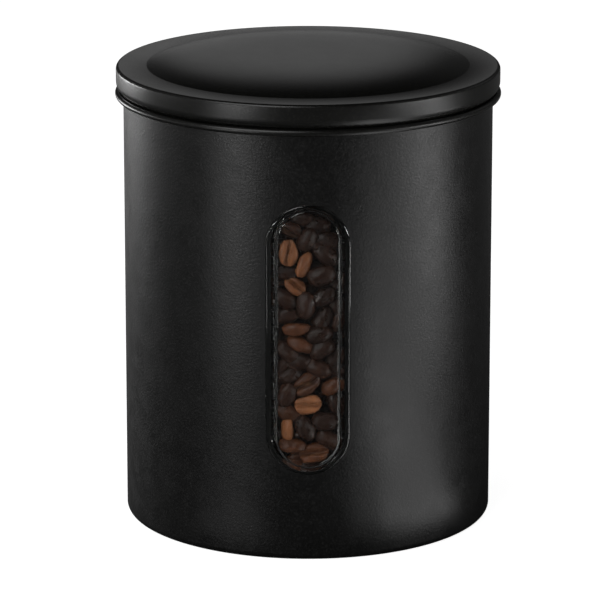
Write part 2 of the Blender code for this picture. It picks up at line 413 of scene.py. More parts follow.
@dataclass(frozen=True)
class RoastedBean:
    """The skin of roasted coffee beans, from nearly black to golden, with pale chaff in the crease.

    It reads two numbers that the beans carry. Roast goes from 0 for dark to 1 for pale, and crease is 1 in
    the fold.

    Attributes:
        name: the material's name.
        dark, brown, chestnut, golden: its colours by roast.
        chaff: the colour of the chaff.
        specular: how strongly the skin mirrors.
        roast_stops: the roasts at which it is brown and chestnut.
        mottling: how much the roast changes over a bean.
        chaff_range: the clouds between which the chaff comes in.
        chaff_share: how thickly it lies.
        roughness: lowest and highest roughness.
        cloud_size: the size of the clouds.
        dent_height: how far the clouds stand up.
        skin_size: the size of the patches of roughness.
        wrinkle_size: the size of the wrinkles.
        wrinkle_height: how far the wrinkles stand up.
    """

    name: str = "roasted_bean"
    dark: Colour = (0.009, 0.0036, 0.0021)
    brown: Colour = (0.02, 0.0076, 0.004)
    chestnut: Colour = (0.068, 0.023, 0.009)
    golden: Colour = (0.23, 0.09, 0.036)
    chaff: Colour = (0.2, 0.11, 0.06)
    specular: float = 0.24
    roast_stops: Point = (0.33, 0.66)
    mottling: float = 0.32
    chaff_range: Point = (0.48, 0.66)
    chaff_share: float = 0.6
    roughness: Point = (0.25, 0.42)
    cloud_size: float = 0.0035
    dent_height: float = 0.0005
    skin_size: float = 0.0015
    wrinkle_size: float = 0.0006
    wrinkle_height: float = 0.00006

    def build(self) -> bpy.types.Material:
        """Returns the material."""
        finish = Finish(self.name)
        roast = finish.add("ShaderNodeAttribute", attribute_name="roast").outputs["Fac"]
        crease = finish.add("ShaderNodeAttribute", attribute_name="crease").outputs["Fac"]
        cloud = finish.noise(self.cloud_size, 4.0)
        mottled = finish.math("MULTIPLY_ADD", finish.math("SUBTRACT", cloud, 0.5), self.mottling, roast)
        ramp = finish.add("ShaderNodeValToRGB", {0: mottled})
        stops = ramp.color_ramp.elements
        for place in self.roast_stops:
            stops.new(place)
        for stop, colour in zip(stops, (self.dark, self.brown, self.chestnut, self.golden)):
            stop.color = (*colour, 1.0)
        chaff = finish.ramp(cloud, self.chaff_range, (0.0, self.chaff_share))
        patchy = finish.math("MULTIPLY", crease, chaff)
        finish.set(Base_Color=finish.mix(patchy, ramp.outputs[0], self.chaff))
        finish.set(Roughness=finish.ramp(finish.noise(self.skin_size), NOISE_RANGE, self.roughness))
        finish.set(Specular_IOR_Level=self.specular)
        wrinkles = finish.noise(self.wrinkle_size, 3.0)
        finish.relief((wrinkles, self.wrinkle_height), (cloud, self.dent_height))
        return finish.material


@dataclass(frozen=True)
class Corner:
    """A corner of a section.

    Attributes:
        radius: distance from the axis, or for the window's rings from the opening.
        height: height, or for the window's rings the radius.
        rounding: radius of the arc that replaces the corner.
    """

    radius: float
    height: float
    rounding: float = 0.0


def arc(centre: Point, radius: float, start: float, end: float, steps: int) -> list[Point]:
    """Points along an arc.

    Args:
        centre: its middle.
        radius: its radius.
        start: angle of its first point.
        end: angle of its last point.
        steps: how many steps it takes.

    Returns:
        One point more than there are steps.
    """
    angles = [start + (end - start) * i / steps for i in range(steps + 1)]
    return [(centre[0] + radius * cos(angle), centre[1] + radius * sin(angle)) for angle in angles]


def rounded(corners: Sequence[Corner], steps: int = CORNER_STEPS) -> list[Point]:
    """Replaces the corners of a closed outline by arcs.

    Args:
        corners: the outline's corners in order.
        steps: steps of each arc.

    Returns:
        The outline's points.
    """
    points: list[Point] = []
    for i, corner in enumerate(corners):
        here = Vector((corner.radius, corner.height))
        if corner.rounding == 0:
            points.append((here.x, here.y))
            continue
        before, after = corners[i - 1], corners[(i + 1) % len(corners)]
        back = (Vector((before.radius, before.height)) - here).normalized()
        on = (Vector((after.radius, after.height)) - here).normalized()
        half = back.angle(on) / 2
        middle = here + (back + on).normalized() * corner.rounding / sin(half)
        first = here + back * corner.rounding / tan(half) - middle
        last = here + on * corner.rounding / tan(half) - middle
        start = atan2(first.y, first.x)
        turn = (atan2(last.y, last.x) - start + pi) % (2 * pi) - pi
        points += arc((middle.x, middle.y), corner.rounding, start, start + turn, steps)
    return points


def sheet_section(face: Sequence[Point], thickness: float, end_steps: int = CORNER_STEPS) -> list[Point]:
    """The closed section of a bent sheet.

    Args:
        face: the sheet's outer face, running down its outer side.
        thickness: the sheet's thickness.
        end_steps: steps of the half circle at each free end.

    Returns:
        The section's points, closed unless the sheet starts on the axis.
    """
    path = np.array(face)
    runs = np.diff(path, axis=0)
    runs /= np.linalg.norm(runs, axis=1)[:, None]
    sides = np.column_stack([-runs[:, 1], runs[:, 0]])
    mean = np.vstack([sides[:1], sides[:-1] + sides[1:], sides[-1:]])
    mean /= np.linalg.norm(mean, axis=1)[:, None]
    nearest = np.vstack([sides[:1], sides])
    spread = np.sum(mean * nearest, axis=1)
    inner = path - thickness * mean / spread[:, None]
    points = [tuple(point) for point in path]
    points += round_end(path[-1], inner[-1], end_steps)
    points += [tuple(point) for point in inner[::-1]]
    if path[0][0] > 0:
        points += round_end(inner[0], path[0], end_steps)
        points.append(points[0])
    return points


def round_end(start: np.ndarray, end: np.ndarray, steps: int) -> list[Point]:
    """The half circle at a sheet's free edge.

    Args:
        start: where one face ends.
        end: where the other face begins.
        steps: steps of the half circle.

    Returns:
        Its points, without the two faces' own.
    """
    middle = (start + end) / 2
    spoke = start - middle
    first = atan2(spoke[1], spoke[0])
    return arc(tuple(middle), float(np.linalg.norm(spoke)), first, first - pi, steps)[1:-1]


def join_rings(form: bmesh.types.BMesh, rings: Sequence[Sequence[bmesh.types.BMVert]]) -> None:
    """Joins each ring of corners to the next one by faces.

    Args:
        form: what the faces go into.
        rings: the rings, all with the same number of corners.
    """
    for first, second in zip(rings, rings[1:]):
        for i, corner in enumerate(first):
            following = (i + 1) % len(first)
            form.faces.new((corner, first[following], second[following], second[i]))


def to_mesh(form: bmesh.types.BMesh, name: str) -> bpy.types.Mesh:
    """Turns a form into a mesh and frees it.

    Args:
        form: the form.
        name: the mesh's name.

    Returns:
        The mesh.
    """
    mesh = bpy.data.meshes.new(name)
    form.to_mesh(mesh)
    form.free()
    return mesh


def new_object(name: str, data: bpy.types.ID) -> bpy.types.Object:
    """Puts a mesh, camera or lamp into the scene at the origin and returns its object."""
    obj = bpy.data.objects.new(name, data)
    bpy.context.scene.collection.objects.link(obj)
    return obj


def settle(form: bpy.types.Object, name: str) -> bpy.types.Object:
    """Turns what an object's modifiers make into a plain mesh, and removes the object.

    Args:
        form: the object with its modifiers.
        name: the new piece's name.

    Returns:
        The new piece.
    """
    graph = bpy.context.evaluated_depsgraph_get()
    evaluated = form.evaluated_get(graph)
    mesh = bpy.data.meshes.new_from_object(evaluated, preserve_all_data_layers=True, depsgraph=graph)
    mesh.name = name
    bpy.data.objects.remove(form, do_unlink=True)
    face_outwards(mesh)
    piece = new_object(name, mesh)
    dress(piece, next(material for material in mesh.materials if material))
    return piece


def face_outwards(mesh: bpy.types.Mesh) -> None:
    """Turns a closed mesh's faces outwards if its volume comes out negative."""
    mesh.calc_loop_triangles()
    corners = np.array([triangle.vertices for triangle in mesh.loop_triangles])
    places = np.array([vertex.co for vertex in mesh.vertices])
    first, second, third = (places[corners[:, i]] for i in range(3))
    if np.sum(first * np.cross(second, third)) < 0:
        mesh.flip_normals()


def smooth(piece: bpy.types.Object) -> None:
    """Shades a piece smooth, apart from its sharp edges."""
    piece.data.shade_smooth()
    piece.data.set_sharp_from_angle(angle=SHARP_ANGLE)


def dress(piece: bpy.types.Object, material: bpy.types.Material) -> None:
    """Gives a piece its one material."""
    piece.data.materials.clear()
    piece.data.materials.append(material)


def hand_over(piece: bpy.types.Object, body: Body, slot: str | None = None, *nodes: str) -> None:
    """Ties a finished piece to the CAD model and reports it.

    Args:
        piece: the piece.
        body: the body it rides on.
        slot: the record's material slot, if it has one; not used.
        *nodes: the CAD nodes it stands for.
    """
    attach(piece, body.value)
    if nodes:
        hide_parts(*nodes)
    triangles = sum(len(face.vertices) - 2 for face in piece.data.polygons)
    LOG.info("%s: %d triangles, rides on %s", piece.name, triangles, body.value)


class NodeModifier:
    """A Geometry Nodes tree of the script's own, with named inputs."""

    def __init__(self, name: str, inputs: dict[str, str]) -> None:
        """Makes the tree with its geometry input and output.

        Args:
            name: the tree's name.
            inputs: socket types of the other inputs, by their names.
        """
        self.group = bpy.data.node_groups.new(name, "GeometryNodeTree")
        self.group.interface.new_socket("Geometry", in_out="OUTPUT", socket_type="NodeSocketGeometry")
        self.group.interface.new_socket("Geometry", in_out="INPUT", socket_type="NodeSocketGeometry")
        self.sockets = {
            title: self.group.interface.new_socket(title, in_out="INPUT", socket_type=kind).identifier
            for title, kind in inputs.items()
        }
        self.tree = Tree(self.group)
        self.given = self.tree.add("NodeGroupInput").outputs

    def end(self, geometry: Socket) -> None:
        """Ends the tree in Realize Instances and Set Material.

        Args:
            geometry: what the tree has made.
        """
        real = self.tree.add("GeometryNodeRealizeInstances", {0: geometry})
        inputs = {0: real.outputs[0], "Material": self.given["Finish"]}
        dressed = self.tree.add("GeometryNodeSetMaterial", inputs)
        self.tree.add("NodeGroupOutput", {0: dressed.outputs[0]})

    def run(self, form: bpy.types.Object, name: str, **values: object) -> bpy.types.Object:
        """Runs the tree on an object.

        Args:
            form: the object that the tree starts from, which is removed.
            name: the new piece's name.
            **values: the inputs' values, whose names are given with _ for each space.

        Returns:
            The new piece.
        """
        modifier = form.modifiers.new(self.group.name, "NODES")
        modifier.node_group = self.group
        for title, value in values.items():
            modifier[self.sockets[title.replace("_", " ")]] = value
        return settle(form, name)


class Turning(NodeModifier):
    """Turns a section round the axis.

    A grid with a row for each step round the axis takes its heights and radii from the section's points, and
    its seam and poles are then merged.
    """

    def __init__(self) -> None:
        """Builds the tree."""
        kinds = {"Steps": "NodeSocketInt", "Merge": "NodeSocketFloat", "Finish": "NodeSocketMaterial"}
        super().__init__("turning", kinds)
        tree = self.tree
        section = self.given["Geometry"]
        steps = self.given["Steps"]
        count = tree.add("GeometryNodeAttributeDomainSize", {0: section}).outputs["Point Count"]
        rows = tree.math("ADD", steps, 1.0)
        grid = tree.add("GeometryNodeMeshGrid", {"Vertices X": rows, "Vertices Y": count})
        index = tree.add("GeometryNodeInputIndex").outputs[0]
        step = tree.math("FLOOR", tree.math("DIVIDE", index, count))
        position = tree.add("GeometryNodeInputPosition").outputs[0]
        inputs = {"Geometry": section, "Value": position, "Index": tree.math("MODULO", index, count)}
        sample = tree.add("GeometryNodeSampleIndex", inputs, data_type="FLOAT_VECTOR", domain="POINT")
        radius, _, height = tree.axes(sample.outputs[0])
        angle = tree.math("DIVIDE", tree.math("MULTIPLY", step, 2 * pi), steps)
        across = tree.math("MULTIPLY", radius, tree.math("COSINE", angle))
        along = tree.math("MULTIPLY", radius, tree.math("SINE", angle))
        place = tree.add("ShaderNodeCombineXYZ", {"X": across, "Y": along, "Z": height})
        moved = tree.add("GeometryNodeSetPosition", {0: grid.outputs[0], "Position": place.outputs[0]})
        inputs = {0: moved.outputs[0], "Distance": self.given["Merge"]}
        merged = tree.add("GeometryNodeMergeByDistance", inputs)
        self.end(merged.outputs[0])

    def turn(
        self, name: str, section: Sequence[Point], material: bpy.types.Material, steps: int = 256
    ) -> bpy.types.Object:
        """Makes a turned piece.

        Args:
            name: the piece's name.
            section: points of radius and height.
            material: its finish.
            steps: steps round the axis.

        Returns:
            The piece, shaded smooth.
        """
        mesh = bpy.data.meshes.new(name + "_section")
        mesh.from_pydata([(radius, 0.0, height) for radius, height in section], [], [])
        form = new_object(name + "_section", mesh)
        piece = self.run(form, name, Steps=steps, Merge=MERGE, Finish=material)
        smooth(piece)
        return piece


@dataclass
class Barrel:
    """The rolled steel barrel, with its rim curled inwards and its foot turned in to a flat ring."""

    radius: float
    height: float
    sheet: float = 0.0005
    curl_radius: float = 0.0012
    curl_end: float = radians(-85)
    foot_radius: float = 0.003
    flange_width: float = 0.005
    wall_rows: int = 40
    coat: PowderCoat = field(default_factory=lambda: PowderCoat("barrel_coat", seam_height=0.00012))

    @property
    def inside(self) -> float:
        """Radius of the wall's inner face."""
        return self.radius - self.sheet

    @property
    def mouth(self) -> float:
        """Radius of the opening inside the rolled rim."""
        return self.radius - 2 * self.curl_radius

    def section(self) -> list[Point]:
        """Returns the closed section of wall, rim and foot."""
        rim = (self.radius - self.curl_radius, self.height - self.curl_radius)
        foot = (self.radius - self.foot_radius, self.foot_radius)
        rows = np.linspace(rim[1], foot[1], self.wall_rows + 1)[1:-1]
        face = arc(rim, self.curl_radius, 2 * pi + self.curl_end, 0.0, RIM_STEPS)
        face += [(self.radius, float(row)) for row in rows]
        face += arc(foot, self.foot_radius, 0.0, -pi / 2, ARC_STEPS)
        face.append((foot[0] - self.flange_width, 0.0))
        return sheet_section(face, self.sheet)

    def build(self, turning: Turning, window: "Window") -> None:
        """Makes the barrel with its window opening.

        Args:
            turning: turns sections round the axis.
            window: gives the opening.
        """
        wall = turning.turn("barrel_wall", self.section(), self.coat.build())
        cutter = window.opening_cutter()
        cut = wall.modifiers.new("opening", "BOOLEAN")
        cut.operation = "DIFFERENCE"
        cut.object = cutter
        cut.solver = "EXACT"
        shell = settle(wall, "barrel_shell")
        bpy.data.objects.remove(cutter, do_unlink=True)
        smooth(shell)
        hand_over(shell, Body.CANISTER, self.coat.slot, "barrel")


@dataclass
class Base:
    """The pressed disc inside the barrel's foot."""

    barrel: Barrel
    edge_height: float = 0.006
    gap: float = 0.0003
    panel_margin: float = 0.006
    panel_step: float = 0.002
    panel_rise: float = 0.0015
    coat: PowderCoat = field(default_factory=lambda: PowderCoat("base_coat"))

    def section(self) -> list[Point]:
        """Returns the section from the upturned edge to the axis."""
        barrel = self.barrel
        turn = barrel.foot_radius - barrel.sheet - self.gap
        middle = (barrel.radius - barrel.foot_radius, barrel.foot_radius)
        floor = middle[1] - turn
        step_foot = middle[0] - barrel.flange_width - self.panel_margin
        step_top = step_foot - self.panel_step
        slope = rounded(
            [
                Corner(middle[0], floor),
                Corner(step_foot, floor, self.panel_step / 2),
                Corner(step_top, floor + self.panel_rise, self.panel_step / 2),
                Corner(0.0, floor + self.panel_rise),
            ]
        )
        edge = arc(middle, turn, 0.0, -pi / 2, ARC_STEPS)
        face = [(middle[0] + turn, self.edge_height), *edge, *slope[1:]]
        return sheet_section(face, barrel.sheet)

    def build(self, turning: Turning) -> None:
        """Makes the base with the tree that turns sections."""
        disc = turning.turn("base_disc", self.section()[:-1], self.coat.build())
        hand_over(disc, Body.CANISTER, self.coat.slot, "base")


@dataclass(frozen=True)
class Outline:
    """An upright outline with half-round ends, on a cylinder round the axis.

    Attributes:
        width: its width as seen square on.
        height: its height.
        radius: the cylinder's radius.
    """

    width: float
    height: float
    radius: float

    def inset(self, distance: float, radius: float | None = None) -> "Outline":
        """Returns an outline that lies a distance inside this one, perhaps on another cylinder."""
        return Outline(self.width - 2 * distance, self.height - 2 * distance, radius or self.radius)

    def points(self, middle: float, end_steps: int = 28, side_steps: int = 16) -> list[Vector]:
        """Points round the outline.

        Args:
            middle: height of its middle.
            end_steps: steps of each half-round end.
            side_steps: steps of each straight side.

        Returns:
            The points, starting where the right side meets the upper end.
        """
        half = self.width / 2
        rise = self.height / 2 - half
        flat = arc((0.0, rise), half, 0.0, pi, end_steps)
        flat += [(-half, rise - 2 * rise * i / side_steps) for i in range(1, side_steps)]
        flat += arc((0.0, -rise), half, pi, 2 * pi, end_steps)
        flat += [(half, 2 * rise * i / side_steps - rise) for i in range(1, side_steps)]
        return [Vector((x, -sqrt(self.radius**2 - x**2), middle + z)) for x, z in flat]


@dataclass
class Window:
    """The clear pane with its lip and plug, the gasket behind the wall and the frame that holds both."""

    barrel: Barrel
    middle: float
    width: float
    height: float
    lip_outside: float
    lip_thickness: float = 0.0012
    lip_rounding: float = 0.001
    side_margin: float = 0.0046
    end_margin: float = 0.00275
    plug_side: float = 0.0018
    plug_end: float = 0.0013
    pane_thickness: float = 0.0015
    seat_gap: float = 0.0003
    seal_gap: float = 0.00015
    gasket_thickness: float = 0.001
    gasket_inset: float = 0.0005
    frame_thickness: float = 0.0022
    frame_width: float = 0.004
    plug_past_frame: float = 0.0004
    edge: float = 0.0003
    fillet: float = 0.0013
    pocket_side: float = 0.0003
    fill_rings: int = 12
    clear: ClearPlastic = field(default_factory=lambda: ClearPlastic("pane_plastic"))
    silicone: Silicone = field(default_factory=lambda: Silicone("gasket_silicone"))
    plastic: MouldedPlastic = field(default_factory=lambda: MouldedPlastic("frame_plastic"))

    @property
    def lip(self) -> Outline:
        """Outline of the lip's outer face."""
        return Outline(self.width, self.height, self.lip_outside)

    @property
    def pane_inside(self) -> float:
        """Radius of the see-through middle's inner face."""
        return self.lip_outside - self.pane_thickness

    @property
    def pocket(self) -> Outline:
        """Outline of the see-through middle, at its inner face."""
        width = self.width - 2 * self.side_margin + 2 * self.pocket_side
        return Outline(width, self.height - 2 * self.end_margin + 2 * self.pocket_side, self.pane_inside)

    @property
    def plug(self) -> Outline:
        """Outline of the plug at the lip's underside."""
        width = self.width - 2 * self.side_margin + 2 * self.plug_side
        height = self.height - 2 * self.end_margin + 2 * self.plug_end
        return Outline(width, height, self.lip_outside - self.lip_thickness)

    @property
    def opening(self) -> Outline:
        """Outline of the opening in the wall, the gasket and the frame."""
        return self.plug.inset(-self.seat_gap)

    @property
    def frame_outside(self) -> float:
        """Radius of the frame's face towards the gasket."""
        return self.barrel.inside - 2 * self.seal_gap - self.gasket_thickness

    @property
    def frame_inside(self) -> float:
        """Radius of the frame's inner face."""
        return self.frame_outside - self.seal_gap - self.frame_thickness

    def sweep(self, name: str, outlines: Sequence[Outline], closed: bool) -> bpy.types.Object:
        """Joins outlines one after another into a closed skin.

        Args:
            name: the piece's name.
            outlines: the outlines in order.
            closed: whether the last one joins the first.

        Returns:
            The piece.
        """
        form = bmesh.new()
        rings = [[form.verts.new(point) for point in outline.points(self.middle)] for outline in outlines]
        join_rings(form, rings + rings[:1] if closed else rings)
        bmesh.ops.remove_doubles(form, verts=form.verts, dist=MERGE)
        bmesh.ops.recalc_face_normals(form, faces=form.faces)
        piece = new_object(name, to_mesh(form, name))
        smooth(piece)
        return piece

    def opening_cutter(self) -> bpy.types.Object:
        """Returns a bar that cuts the plug's opening out of the barrel."""
        hole = self.opening
        reach = self.barrel.foot_radius
        radii = (hole.radius + reach, self.barrel.inside - reach)
        form = bmesh.new()
        ends = [
            [form.verts.new(point) for point in Outline(hole.width, hole.height, radius).points(self.middle)]
            for radius in radii
        ]
        join_rings(form, ends)
        for end in ends:
            form.faces.new(end)
        bmesh.ops.triangulate(form, faces=form.faces)
        bmesh.ops.recalc_face_normals(form, faces=form.faces)
        return new_object("opening_cutter", to_mesh(form, "opening_cutter"))

    def fill(self, rim: Outline) -> list[Outline]:
        """Returns outlines from the middle line of a face, with no width, out towards its rim."""
        return [rim.inset(rim.width / 2 * (1 - i / self.fill_rings)) for i in range(self.fill_rings)]

    def build_pane(self) -> None:
        """Makes the pane, from the middle of its outer face round to the middle of its inner face."""
        lip, plug, pocket = self.lip, self.plug, self.pocket
        rounding, edge, fillet = self.lip_rounding, self.edge, self.fillet
        foot = self.frame_inside - self.plug_past_frame + edge
        outlines = self.fill(lip.inset(rounding))
        for across, down in arc((rounding, rounding), rounding, -pi / 2, -pi, LIP_STEPS):
            outlines.append(lip.inset(across, lip.radius - down))
        outlines += [lip.inset(0.0, plug.radius + edge / 2), lip.inset(edge / 2, plug.radius), plug]
        outlines += [plug.inset(*place) for place in arc((edge, foot), edge, pi, 3 * pi / 2, EDGE_STEPS)]
        outlines += [pocket.inset(*place) for place in arc((-edge, foot), edge, -pi / 2, 0.0, EDGE_STEPS)]
        turn = (fillet, self.pane_inside - fillet)
        outlines += [pocket.inset(*place) for place in arc(turn, fillet, pi, pi / 2, ARC_STEPS)]
        outlines += self.fill(pocket.inset(fillet))[::-1]
        pane = self.sweep("pane", outlines, closed=False)
        dress(pane, self.clear.build(plug, self.middle))
        pane.visible_shadow = False
        hand_over(pane, Body.CANISTER, self.clear.slot, "window_pane")

    def ring(self, name: str, width: float, inside: float, outside: float, edge: float) -> bpy.types.Object:
        """Makes a ring round the plug.

        Args:
            name: the ring's name.
            width: how far it reaches out from its opening.
            inside: radius of its inner face.
            outside: radius of its outer face.
            edge: rounding of its edges.

        Returns:
            The ring.
        """
        places = ((0.0, inside), (-width, inside), (-width, outside), (0.0, outside))
        section = rounded([Corner(*place, edge) for place in places])
        return self.sweep(name, [self.opening.inset(*place) for place in section], closed=True)

    def build(self) -> None:
        """Makes the pane, the gasket and the frame."""
        self.build_pane()
        gasket_outside = self.barrel.inside - self.seal_gap
        width = self.frame_width - self.gasket_inset
        inside = gasket_outside - self.gasket_thickness
        gasket = self.ring("gasket", width, inside, gasket_outside, self.edge)
        dress(gasket, self.silicone.build())
        hand_over(gasket, Body.CANISTER, self.silicone.slot, "window_gasket")
        inside = self.frame_inside
        holder = self.ring("frame", self.frame_width, inside, inside + self.frame_thickness, 2 * self.edge)
        dress(holder, self.plastic.build())
        hand_over(holder, Body.CANISTER, self.plastic.slot, "window_frame")


@dataclass
class Lid:
    """The steel cover, the plastic insert that plugs the mouth, and the seal in the insert's groove."""

    barrel: Barrel
    hem_outside: float
    hem_foot: float
    top: float
    seat_gap: float = 0.0003
    seal_gap: float = 0.00015
    hem_radius: float = 0.0014
    hem_curl_end: float = radians(100)
    draw_in: float = 0.0019
    corner_radius: float = 0.0014
    straight: float = 0.0049
    ring_width: float = 0.0128
    dome_height: float = 0.005
    dome_fullness: float = 4.6
    dome_steps: int = 56
    insert_wall: float = 0.0013
    insert_edge_gap: float = 0.0005
    plug_depth: float = 0.013
    plug_clearance: float = 0.0007
    plug_taper: float = 0.0005
    plug_corner: float = 0.002
    groove_depth: float = 0.001
    groove_height: float = 0.0035
    insert_edge: float = 0.0003
    insert_fillet: float = 0.0002
    seal_lip_depth: float = 0.0006
    seal_fullness: float = 0.7
    coat: PowderCoat = field(
        default_factory=lambda: PowderCoat(
            "lid_coat",
            colour=(0.005, 0.005, 0.0045),
            fleck=(0.01, 0.01, 0.009),
            roughness=(0.2, 0.22),
            grain_height=0.00003,
            speckle=0.015,
            peel_height=0.000004,
            side_roughness=0.13,
        )
    )
    plastic: MouldedPlastic = field(default_factory=lambda: MouldedPlastic("insert_plastic"))
    silicone: Silicone = field(default_factory=lambda: Silicone("seal_silicone"))

    @property
    def ring_height(self) -> float:
        """Height of the flat ring round the raised middle."""
        return self.top - self.dome_height

    @property
    def skirt_radius(self) -> float:
        """Radius of the skirt's straight part."""
        return self.hem_outside - 2 * self.hem_radius + self.barrel.sheet + self.draw_in

    @property
    def plug_radius(self) -> float:
        """Radius of the insert's plug at its widest."""
        return self.barrel.mouth - self.plug_clearance

    def dome(self) -> list[Point]:
        """Returns the raised middle, from its top to the crease at its foot."""
        foot = self.skirt_radius - self.ring_width
        points = []
        for i in range(self.dome_steps + 1):
            share = sin(pi / 2 * i / self.dome_steps)
            rise = self.dome_height * (1 - share**self.dome_fullness)
            points.append((foot * share, self.ring_height + rise))
        return points

    def cover_section(self) -> list[Point]:
        """Returns the section of the cover, from the axis round the hem and back."""
        sheet = self.barrel.sheet
        corner = (self.skirt_radius - self.corner_radius, self.ring_height - self.corner_radius)
        hem = (self.hem_outside - self.hem_radius, self.hem_foot + self.hem_radius)
        straight_end = corner[1] - self.straight
        fall = straight_end - hem[1] - self.hem_radius
        sweep_radius = (self.draw_in**2 + fall**2) / (2 * self.draw_in)
        sweep_middle = (self.skirt_radius - sweep_radius, straight_end)
        face = self.dome()
        face += arc(corner, self.corner_radius, pi / 2, 0.0, ARC_STEPS)
        face += arc(sweep_middle, sweep_radius, 0.0, -2 * atan2(self.draw_in, fall), ARC_STEPS)
        face += arc(hem, self.hem_radius - sheet, pi, 2 * pi + self.hem_curl_end, HEM_STEPS)
        return sheet_section(face, sheet)

    def insert_section(self) -> list[Point]:
        """Returns the closed section of the insert, from the axis round its flange and back."""
        rim = self.barrel.height
        wall, edge, fillet = self.insert_wall, self.insert_edge, self.insert_fillet
        flange = self.skirt_radius - self.barrel.sheet - self.insert_edge_gap
        under, over = rim + self.seat_gap, rim + self.seat_gap + wall
        groove = self.plug_radius - self.groove_depth
        groove_foot = under - self.groove_height
        foot = self.plug_radius - self.plug_taper
        bottom = rim - self.plug_depth
        corners = [
            Corner(0.0, bottom),
            Corner(foot, bottom, self.plug_corner),
            Corner(self.plug_radius, groove_foot, edge),
            Corner(groove, groove_foot, fillet),
            Corner(groove, under, fillet),
            Corner(flange, under, edge),
            Corner(flange, over, edge),
            Corner(groove - wall, over, edge),
            Corner(groove - wall, groove_foot - wall, fillet),
            Corner(self.plug_radius - wall, groove_foot - wall, fillet),
            Corner(foot - wall, bottom + wall, self.plug_corner - wall),
            Corner(0.0, bottom + wall),
        ]
        return rounded(corners)

    def seal_section(self) -> list[Point]:
        """Returns the closed section of the seal with its two lips."""
        top = self.barrel.height + self.seat_gap - self.seal_gap
        bottom = self.barrel.height + self.seat_gap - self.groove_height + self.seal_gap
        inner = self.plug_radius - self.groove_depth + self.seal_gap
        valley = self.barrel.mouth - self.seat_gap - self.seal_lip_depth
        lip = (top - bottom) / 2
        points = [(inner, top)]
        for start in (top, top - lip):
            for i in range(ARC_STEPS):
                share = i / ARC_STEPS
                swell = self.seal_lip_depth * sin(pi * share) ** self.seal_fullness
                points.append((valley + swell, start - lip * share))
        return points + [(valley, bottom), (inner, bottom), (inner, top)]

    def build(self, turning: Turning) -> None:
        """Makes the three pieces.

        Args:
            turning: turns sections round the axis.
        """
        pieces = (
            ("cover", "lid_cover", self.cover_section(), self.coat),
            ("insert", "lid_insert", self.insert_section(), self.plastic),
            ("seal", "lid_seal", self.seal_section(), self.silicone),
        )
        for name, node, section, finish in pieces:
            hand_over(turning.turn(name, section, finish.build()), Body.LID, finish.slot, node)


@dataclass(frozen=True)
class PhotoCamera:
    """The camera at the photograph's place. Its picture is 600 by 600.

    Attributes:
        distance: from the canister's axis, along the floor.
        height: above the floor.
        pitch: how far it looks down.
        focal: focal length in pixels.
        axis_column: the picture's column in which the axis stands.
        side: the picture's width and height in pixels.
        sensor: the sensor's width in millimetres.
    """

    distance: float = 1.7891
    height: float = 0.5728
    pitch: float = 0.2635
    focal: float = 4389.6
    axis_column: float = 308.0
    side: float = 600.0
    sensor: float = 36.0

    @property
    def place(self) -> Vector:
        """Where it stands."""
        return Vector((0.0, -self.distance, self.height))

    @property
    def yaw(self) -> float:
        """How far it looks to the left of the axis."""
        return (self.axis_column - self.side / 2) / (self.focal * cos(self.pitch))

    @property
    def turned(self) -> Matrix:
        """Its rotation."""
        return Matrix.Rotation(self.yaw, 3, "Z") @ Matrix.Rotation(pi / 2 - self.pitch, 3, "X")

    def build(self) -> None:
        """Makes the camera and sets it as the scene's."""
        data = bpy.data.cameras.new("camera")
        data.sensor_width = self.sensor
        data.lens = self.sensor * self.focal / self.side
        camera = new_object("camera", data)
        camera.location = self.place
        camera.rotation_euler = self.turned.to_euler()
        bpy.context.scene.camera = camera

    def on_cylinder(self, column: float, row: float, radius: float) -> Vector:
        """The place on a cylinder round the axis that shows at a pixel.

        Args:
            column: the pixel's column.
            row: the pixel's row.
            radius: the cylinder's radius.

        Returns:
            The place.
        """
        middle = self.side / 2
        way = self.turned @ Vector(((column - middle) / self.focal, (middle - row) / self.focal, -1.0))
        start = self.place
        flat = way.x**2 + way.y**2
        half = start.y * way.y
        reach = (-half - sqrt(half**2 - flat * (start.y**2 - radius**2))) / flat
        return start + way * reach


@dataclass(frozen=True)
class WindowBean:
    """A bean that shows at the window.

    Attributes:
        column: the photograph's column of its middle.
        row: the photograph's row of its middle.
        turn: the long axis in the picture, in degrees anticlockwise from the right.
        side: which side looks out.
        roast: from 0 for dark to 1 for golden.
        depth: how far it lies behind the pane, in heights of a bean's back.
        size: its size against the usual one.
    """

    column: float
    row: float
    turn: float
    side: Side
    roast: float
    depth: float = 0.0
    size: float = 1.0


